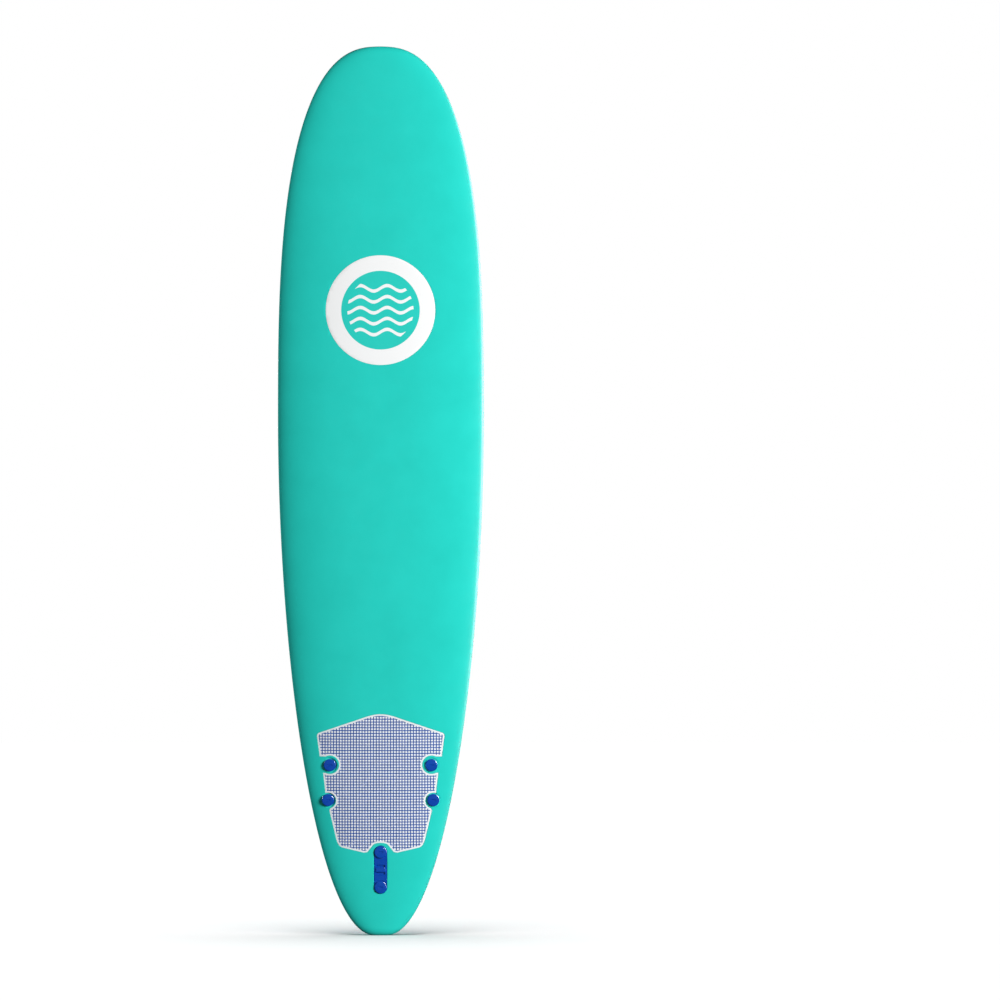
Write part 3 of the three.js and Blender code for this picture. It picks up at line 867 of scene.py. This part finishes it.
def tube_profile(radius, bore, start, end, edge):
    """Profile of a tube with bevelled edges."""
    outer = [(radius, start + edge), (radius, end - edge), (radius - edge, end)]
    inner = [(bore + edge, end), (bore, end - edge), (bore, start + edge), (bore + edge, start)]
    return outer + inner + [(radius - edge, start)]


def make_washer(bolt):
    top = bolt["seat"] + GAP
    profile = tube_profile(HEAD_RADIUS, SCREW_HOLE, top, top + WASHER_THICKNESS, 0.35)
    return revolve(f"washer_{bolt['name']}_ring", bolt["fitting"], profile, bolt["z"], tube=True)


def make_insert(bolt):
    """Brass insert: diamond knurl outside between plain collars, and a thread in the bore."""
    start = POST_END + GAP
    end = start + INSERT_LENGTH
    rim, mouth = INSERT_RADIUS - 0.3, INSERT_BORE + 0.65
    outer = [(INSERT_RADIUS, level) for level in np.linspace(start + 0.4, end - 0.4, 52)]
    inner = [(INSERT_BORE, level) for level in np.linspace(end - 0.5, start + 0.5, 52)]
    profile = outer + [(rim, end), (mouth, end)] + inner + [(mouth, start), (rim, start)]

    def cut(radius, level, turn):
        along = (level - start) / INSERT_LENGTH
        rows = (np.abs(along - 0.25) < 0.17) | (np.abs(along - 0.75) < 0.17)
        weave = np.abs(np.sin(12 * turn + 1.9 * level)) * np.abs(np.sin(12 * turn - 1.9 * level))
        knurl = KNURL_DEPTH * rows * (1 - weave) * (radius > rim)
        phase = (level / THREAD_PITCH + turn / TAU) % 1
        groove = INSERT_GROOVE * np.clip(1 - 3 * np.abs(phase - 0.5), 0, 1) * (radius < mouth)
        return radius - knurl + groove

    name = f"insert_{bolt['name']}_brass"
    return revolve(name, bolt["fitting"], profile, bolt["z"], sides=96, wave=cut, tube=True)


def make_sleeve(bolt):
    """Tube through the core, from below the deck foam to the bottom layers."""
    start = bolt["seat"] - SEAT_DEPTH + DECK_FOAM + SLEEVE_DROP
    profile = tube_profile(SLEEVE_RADIUS, SLEEVE_BORE, start, -BOTTOM_STACK - 2 * GAP, 0.3)
    return revolve(f"sleeve_{bolt['name']}_tube", bolt["fitting"], profile, bolt["z"], tube=True)


def make_bridge():
    """Plate under the two centre screws, with a bar over a pocket for the leash string."""
    outline = stadium(BRIDGE_RADIUS, 2 * BOLT_HALF_SPACING, steps=32)
    levels = [
        (-0.5, -1.5), (-0.42, -0.9), (-0.15, -0.3), (0.3, 0),
        (BRIDGE_DEPTH - 0.4, 0), (BRIDGE_DEPTH, -0.4),
    ]
    plate = plug("leash_bridge_moulding", CENTRE_FIN, outline, levels, cell=9)
    pocket_levels = [(-6, 1), (-0.2, 0.4), (0.3, 0), (3.4, -0.2)]
    combine(plate, [plug("pocket", CENTRE_FIN, round_box(*BRIDGE_POCKET), pocket_levels, cell=9)])
    centre = [bolt for bolt in BOLTS if bolt["fitting"] is CENTRE_FIN]
    deck = (centre[0]["seat"] + centre[1]["seat"]) / 2 - SEAT_DEPTH
    bar_levels = [
        (-2.8, -1.9), (-2.72, -1.2), (-2.45, -0.6), (-1.9, -0.15),
        (-1.3, 0), (-0.4, 0), (0, -0.3), (0.3, -1),
    ]
    bar_levels = [(deck + y, growth) for y, growth in bar_levels]
    combine(plate, [stack("bar", CENTRE_FIN, round_box(*BRIDGE_BAR), bar_levels)], "UNION")
    cuts = []
    for bolt in centre:
        seat = bolt["seat"] + GAP
        cut = [
            (BRIDGE_SEAT_RADIUS + 0.6, seat - 12), (BRIDGE_SEAT_RADIUS, seat - 0.6),
            (BRIDGE_SEAT_RADIUS, seat),
        ]
        cuts.append(revolve("seat", CENTRE_FIN, cut, bolt["z"], sides=96))
        cuts.append(drill(bolt, SCREW_HOLE))
    return combine(plate, cuts)


# ---- node materials

# Printed stripes of the bottom, in metres and as slopes.
STRIPE_PITCH = 0.03
STRIPE_SLANT = 0.4
PINCH_SPACING = 0.42
PINCH_SLOPE = 0.25
PINCH_SHARPNESS = 0.68
PINCH_WEIGHT = 0.35

# Badge print, in metres: inside of the ring, size of the field of waves, and the wave lines.
RING_INSIDE = 0.108
FIELD_RADIUS = 0.091
FIELD_HALF_HEIGHT = 0.075
WAVE_LENGTH = 0.074
WAVE_HEIGHT = 0.0075
WAVE_SPACING = 0.03
WAVE_HALF_WIDTH = 0.0046
PRINT_EDGE = 0.0002


class Look:
    """Builds a procedural material; every value is a number, a colour or a socket."""

    def __init__(self, name, base, roughness, **more):
        self.name = name
        self.material = bpy.data.materials.new(name)
        self.material.use_nodes = True
        self.tree = self.material.node_tree
        self.shader = self.tree.nodes["Principled BSDF"]
        self.put("Base Color", base)
        self.put("Roughness", roughness)
        for key, value in more.items():
            self.put(key.replace("_", " "), value)

    def put(self, socket, value):
        self.wire(self.shader.inputs[socket], value)

    def wire(self, socket, value):
        if isinstance(value, bpy.types.NodeSocket):
            self.tree.links.new(value, socket)
        else:
            socket.default_value = colour(value) if isinstance(value, str) else value

    def node(self, kind, inputs, **settings):
        made = self.tree.nodes.new(kind)
        for key, value in settings.items():
            setattr(made, key, value)
        for key, value in inputs.items():
            self.wire(made.inputs[key], value)
        return made.outputs

    def place(self, stretch=None):
        place = self.node("ShaderNodeTexCoord", {})["Object"]
        if stretch:
            place = self.node("ShaderNodeMapping", {"Vector": place, "Scale": stretch})[0]
        return place

    def axes(self):
        return self.node("ShaderNodeSeparateXYZ", {0: self.place()})

    def math(self, operation, a, b=0.0):
        return self.node("ShaderNodeMath", {0: a, 1: b}, operation=operation)[0]

    def times(self, a, b):
        return self.math("MULTIPLY", a, b)

    def noise(self, scale, detail=3, roughness=0.5, stretch=None):
        inputs = {"Scale": scale, "Detail": detail, "Roughness": roughness}
        inputs["Vector"] = self.place(stretch)
        return self.node("ShaderNodeTexNoise", inputs)["Fac"]

    def cells(self, scale, feature="F1", output="Distance"):
        inputs = {"Scale": scale, "Vector": self.place()}
        return self.node("ShaderNodeTexVoronoi", inputs, feature=feature)[output]

    def spread(self, value, low, high, to_low=0.0, to_high=1.0):
        inputs = {0: value, 1: low, 2: high, 3: to_low, 4: to_high}
        return self.node("ShaderNodeMapRange", inputs)[0]

    def mix(self, factor, a, b):
        return self.node("ShaderNodeMix", {0: factor, 6: a, 7: b}, data_type="RGBA")[2]

    def paint(self, factor, a, b):
        self.put("Base Color", self.mix(factor, a, b))

    def roughen(self, value, low, high, start=0.3, stop=0.7):
        self.put("Roughness", self.spread(value, start, stop, low, high))

    def bump(self, height, distance_mm, strength):
        """Adds relief, on top of any that is there."""
        inputs = {"Height": height, "Distance": distance_mm * MM, "Strength": strength}
        for link_before in self.shader.inputs["Normal"].links:
            inputs["Normal"] = link_before.from_socket
        self.put("Normal", self.node("ShaderNodeBump", inputs)["Normal"])


def colour(text):
    """Linear colour from a hexadecimal sRGB one."""
    parts = [int(text[i:i + 2], 16) / 255 for i in (0, 2, 4)]
    return [p / 12.92 if p < 0.04045 else ((p + 0.055) / 1.055) ** 2.4 for p in parts] + [1]


def foam_look(name, light, dark, pebble, roughness):
    """Closed-cell foam sheet: pebbles of that size in mm, faint mottling and a soft sheen."""
    look = Look(name, light, roughness, Sheen_Weight=0.1, Sheen_Roughness=0.3, Specular_IOR_Level=0.4)
    look.paint(look.spread(look.noise(9, 4, 0.6), 0.3, 0.7), dark, light)
    look.bump(look.cells(1000 / pebble, feature="SMOOTH_F1"), 0.12, 0.35)
    look.bump(look.noise(2200 / pebble, 2), 0.06, 0.3)
    look.roughen(look.noise(40), roughness - 0.05, roughness + 0.05)
    return look


def slick_look(name):
    """Glossy sheet printed with navy and teal stripes that slant, fan out and pinch together."""
    look = Look(name, "0a2f6b", 0.22, Coat_Weight=0.5, Coat_Roughness=0.08)
    axes = look.axes()
    across = look.times(axes["X"], -1.0)

    def along(slope):
        return look.math("ADD", axes["Z"], look.times(across, slope))

    phase = along(STRIPE_SLANT)
    weight = PINCH_WEIGHT * PINCH_SPACING / math.pi
    for slope, shift in ((PINCH_SLOPE, 0.0), (-PINCH_SLOPE, 2.1)):
        turn = look.math("ADD", look.times(along(slope), TAU / PINCH_SPACING), shift)
        rise = look.times(look.math("SINE", turn), PINCH_SHARPNESS)
        run = look.times(look.math("COSINE", turn), PINCH_SHARPNESS)
        bend = look.math("ARCTAN2", rise, look.math("SUBTRACT", 1.0, run))
        phase = look.math("ADD", phase, look.times(bend, weight))
    wave = look.math("SINE", look.times(phase, TAU / STRIPE_PITCH))
    ink = look.mix(look.noise(30), "00204f", "001a49")
    sea = look.mix(look.noise(24), "24cdc0", "20c6b9")
    look.paint(look.spread(wave, -0.06, 0.06), ink, sea)
    look.roughen(look.noise(14, 6, 0.65), 0.17, 0.3, start=0.35)
    look.bump(look.noise(180, 2), 0.05, 0.25)
    return look


def eva_look(name, light, dark):
    """Matt cut EVA with a fine open grain."""
    look = Look(name, light, 0.8, Sheen_Weight=0.15)
    look.paint(look.spread(look.noise(700, 4, 0.7), 0.35, 0.65), dark, light)
    look.bump(look.noise(1600, 3, 0.6), 0.08, 0.4)
    return look


def badge_look(name):
    """Printed film: a plain white ring round a teal field with white wave lines."""
    look = Look(name, "fbfbfb", 0.42)

    def printed(value, limit, inside, outside):
        return look.spread(value, limit - PRINT_EDGE, limit + PRINT_EDGE, inside, outside)

    axes = look.axes()
    x = axes["X"]
    z = look.math("SUBTRACT", axes["Z"], BADGE_Z * MM)
    squares = look.math("ADD", look.times(x, x), look.times(z, z))
    radius = look.math("SQRT", squares)
    wave = look.math("SINE", look.times(x, TAU / WAVE_LENGTH))
    level = look.math("SUBTRACT", z, look.times(wave, WAVE_HEIGHT))
    raised_level = look.math("ADD", level, 35 * WAVE_SPACING)
    from_line = look.math("PINGPONG", raised_level, WAVE_SPACING / 2)
    white = printed(from_line, WAVE_HALF_WIDTH, 1.0, 0.0)
    for distance, limit in ((look.math("ABSOLUTE", level), FIELD_HALF_HEIGHT), (radius, FIELD_RADIUS)):
        white = look.times(white, printed(distance, limit, 1.0, 0.0))
    white = look.math("MAXIMUM", white, printed(radius, RING_INSIDE, 0.0, 1.0))
    sea = look.mix(look.spread(look.noise(9, 4, 0.6), 0.3, 0.7), "2acfc1", "2cd5c7")
    look.paint(white, sea, "fbfcfc")
    look.bump(look.noise(900, 2), 0.04, 0.25)
    look.roughen(look.noise(60), 0.38, 0.5)
    return look


def plastic_look(name):
    """Royal blue moulded plastic with a clear gloss, faint flow marks and fine scratches."""
    look = Look(name, "013ca0", 0.2, Specular_IOR_Level=0.4, Coat_Weight=0.25, Coat_Roughness=0.06)
    look.paint(look.spread(look.noise(22, 4, 0.6), 0.3, 0.7), "0040a6", "004ab2")
    look.roughen(look.noise(120, 4, 0.6), 0.16, 0.28)
    look.bump(look.noise(260, 2), 0.03, 0.2)
    return look


def brass_look(name):
    """Brass with the marks of turning."""
    look = Look(name, "c9a24a", 0.32, Metallic=1.0)
    turning = look.noise(260, 3, 0.6, stretch=(1, 14, 1))
    look.paint(turning, "b98f3c", "d9b561")
    look.roughen(turning, 0.24, 0.42)
    look.bump(turning, 0.03, 0.3)
    return look


def sleeve_look(name):
    """Off-white plastic tube with drawn lines along it."""
    look = Look(name, "e6e6e2", 0.45, Subsurface_Weight=0.1, Subsurface_Scale=0.003)
    drawn = look.noise(900, 2, stretch=(1, 0.04, 1))
    look.paint(drawn, "dcdcd6", "efefec")
    look.roughen(drawn, 0.38, 0.55)
    look.bump(drawn, 0.04, 0.3)
    return look


def bead_look(name):
    """Expanded polystyrene: rounded beads of about 4 mm pressed together."""
    look = Look(name, "f3f3ee", 0.85)
    seam = look.spread(look.cells(250, feature="DISTANCE_TO_EDGE"), 0.0, 0.08)
    tint = look.node("ShaderNodeSeparateColor", {0: look.cells(250, output="Color")})[0]
    look.paint(seam, "d8d8cf", look.mix(tint, "eeeee8", "fafaf6"))
    look.bump(seam, 0.25, 0.6)
    return look


def ply_look(name):
    """Raw plywood: long grain along the board, in thin crossed layers through the thickness."""
    look = Look(name, "c79a62", 0.62)
    layer = 0.0016
    grain = look.noise(9, 6, 0.62, stretch=(8, 60, 3))
    wave = look.math("SINE", look.times(look.axes()["X"], TAU / layer))
    wood = look.mix(look.spread(wave, -0.2, 0.2), "b98a53", "cfa36c")
    look.paint(look.spread(grain, 0.35, 0.7), wood, "a3743f")
    look.bump(grain, 0.12, 0.4)
    return look


LOOKS = {look.name: look.material for look in (
    foam_look("deck_foam", "27d6c8", "24d0c2", 1.6, 0.4),
    foam_look("white_foam", "f6faf9", "eef3f2", 1.4, 0.68),
    slick_look("printed_slick"),
    bead_look("bead_foam"),
    ply_look("plywood"),
    eva_look("pad_blue", "1f5fb6", "15489c"),
    eva_look("pad_white", "f8fafc", "e6ebf2"),
    badge_look("badge_film"),
    plastic_look("fitting_blue"),
    brass_look("brass"),
    sleeve_look("sleeve_plastic"),
)}


# ---- assembly

def piece(obj, node, body, slot_name, angle=35):
    """Finishes a piece: shading, material, the body it moves with and the CAD node it stands for."""
    shade(obj, angle)
    obj.data.materials.clear()
    obj.data.materials.append(LOOKS[slot_name])
    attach(obj, body)
    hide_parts(node)


piece(make_deck_skin(), "deck_skin", "board", "deck_foam")
slick = make_sheet("bottom_slick_sheet", RAIL_WRAP + WHITE_EDGE, 0, SLICK_THICKNESS, 0.3)
piece(slick, "bottom_slick", "board", "printed_slick")
backing_from = SLICK_THICKNESS + GAP
backing = make_sheet(
    "bottom_backing_foam", RAIL_WRAP + GAP, backing_from, backing_from + BACKING_THICKNESS, 0.4,
)
piece(backing, "bottom_backing", "board", "white_foam")
for core_name, core_part in make_core().items():
    core_slot = "bead_foam" if core_name.startswith("core") else "plywood"
    piece(core_part, core_name, "board", core_slot)

base_from = PAD_TOP + PAD_LAYER + GAP
base_levels = [
    (base_from, -0.3), (base_from + 0.12, -0.08), (base_from + 0.35, 0),
    (base_from + PAD_LAYER - 0.1, 0), (base_from + PAD_LAYER, -0.2),
]
piece(plug("pad_base_eva", BOARD, PAD, base_levels, cell=9), "traction_pad_base", "board", "pad_blue")
piece(make_pad_top(), "traction_pad_top", "board", "pad_white")
film_levels = [(0, -0.25), (0.08, -0.05), (0.2, 0), (BADGE_THICKNESS, 0)]
piece(plug("badge_print", BOARD, BADGE, film_levels, cell=9), "deck_badge", "board", "badge_film")

for fitting in FINS:
    name = fitting["name"]
    piece(make_fin(fitting), f"fin_{name}", f"fin_{name}", "fitting_blue", angle=40)
for bolt in BOLTS:
    name = bolt["name"]
    fin_body = f"fin_{bolt['fitting']['name']}"
    piece(make_screw(bolt), f"fin_screw_{name}", f"screw_{name}", "fitting_blue")
    piece(make_insert(bolt), f"fin_insert_{name}", fin_body, "brass")
    piece(make_sleeve(bolt), f"fin_sleeve_{name}", "board", "sleeve_plastic")
    if fin_body != "fin_centre":
        piece(make_washer(bolt), f"screw_washer_{name}", f"washer_{name}", "fitting_blue")
piece(make_bridge(), "leash_bridge", "leash_bridge", "fitting_blue")


# ---- floor, light and camera

def make_floor():
    """Pale floor that the camera sees, but that throws no light on the object."""
    a = 12
    mesh = bpy.data.meshes.new("floor")
    mesh.from_pydata([(-a, -a, 0), (a, -a, 0), (a, a, 0), (-a, a, 0)], [], [(0, 1, 2, 3)])
    floor = link(mesh, "floor")
    floor.visible_diffuse = False
    floor.visible_glossy = False
    look = Look("floor_white", "f2f2f2", 0.9, Specular_IOR_Level=0.0)
    look.paint(look.noise(3, 2), "f1f1f1", "f4f4f4")
    mesh.materials.append(look.material)
    return floor


def area_light(name, place_at, aim, size, watts, shape_y=None):
    data = bpy.data.lights.new(name, "AREA")
    data.energy = watts
    data.size = size
    if shape_y:
        data.shape = "RECTANGLE"
        data.size_y = shape_y
    light = link(data, name)
    light.location = place_at
    light.rotation_euler = (Vector(aim) - Vector(place_at)).to_track_quat("-Z", "Y").to_euler()
    light.visible_camera = False
    return light


def link_light(light, objects, state):
    """Lets a light shine on some objects only (INCLUDE), or on all but them (EXCLUDE)."""
    receivers = bpy.data.collections.new(f"{light.name}_receivers")
    for obj in objects:
        receivers.objects.link(obj)
    for membership in receivers.collection_objects:
        membership.light_linking.link_state = state
    light.light_linking.receiver_collection = receivers


def make_world(seen_strength, ambient_strength):
    """White behind the object, and a dim even light from all round."""
    world = bpy.data.worlds.new("studio")
    bpy.context.scene.world = world
    world.use_nodes = True
    nodes, links = world.node_tree.nodes, world.node_tree.links
    seen, ambient = nodes["Background"], nodes.new("ShaderNodeBackground")
    seen.inputs["Color"].default_value = (1, 1, 1, 1)
    seen.inputs["Strength"].default_value = seen_strength
    ambient.inputs["Color"].default_value = (0.95, 0.98, 1, 1)
    ambient.inputs["Strength"].default_value = ambient_strength
    choice, rays = nodes.new("ShaderNodeMixShader"), nodes.new("ShaderNodeLightPath")
    links.new(rays.outputs["Is Camera Ray"], choice.inputs[0])
    links.new(ambient.outputs[0], choice.inputs[1])
    links.new(seen.outputs[0], choice.inputs[2])
    links.new(choice.outputs[0], nodes["World Output"].inputs["Surface"])


def make_lights():
    """Softboxes for the object, two sparkles for its gloss fittings, and a light for the floor."""
    middle = (0, 0, 1.2)
    rim = area_light("rim", (5.2, 0.9, 2.0), middle, 1.8, 650, shape_y=3.4)
    rim.visible_diffuse = False
    edge = area_light("edge", (3.2, 4.6, 1.5), middle, 1.6, 150, shape_y=3.4)
    unmirrored = [
        area_light("key", (4.5, -5.0, 2.0), middle, 2.0, 545, shape_y=2.4),
        area_light("front", (-0.6, -8.0, 1.6), middle, 3.0, 30),
        area_light("left", (-5.4, 2.8, 1.6), middle, 1.8, 210, shape_y=3.2),
        area_light("back", (-1.6, 6.5, 1.8), middle, 2.6, 270),
    ]
    for light in unmirrored:
        light.visible_glossy = False
    for light in unmirrored + [rim, edge]:
        link_light(light, [floor], "EXCLUDE")
    fittings = [obj for obj in bpy.data.objects if LOOKS["fitting_blue"].name in obj.material_slots]
    for name, place_at in (("sparkle_front", (3.6, -3.4, 3.6)), ("sparkle_back", (-4.6, 2.6, 3.0))):
        sparkle = area_light(name, place_at, (0, 0, 0.4), 2.2, 1500)
        sparkle.visible_diffuse = False
        link_light(sparkle, fittings, "INCLUDE")
    data = bpy.data.lights.new("overhead", "SUN")
    data.energy = 3.4
    data.angle = math.radians(32)
    overhead = link(data, "overhead")
    overhead.rotation_euler = (math.radians(2), 0, 0)
    link_light(overhead, [floor], "INCLUDE")


floor = make_floor()
make_world(seen_strength=1.0, ambient_strength=0.07)
make_lights()

settings = bpy.context.scene.view_settings
settings.view_transform = "Standard"
settings.look = "None"
settings.exposure = 0.0
settings.gamma = 1.0

lens = bpy.data.cameras.new("camera")
lens.lens = 200
lens.sensor_width = 36
lens.clip_end = 100
camera = link(lens, "camera")
camera.location = (0.3284, -15.28, 1.1965)
camera.rotation_euler = (math.radians(90), 0, 0)
bpy.context.scene.camera = camera
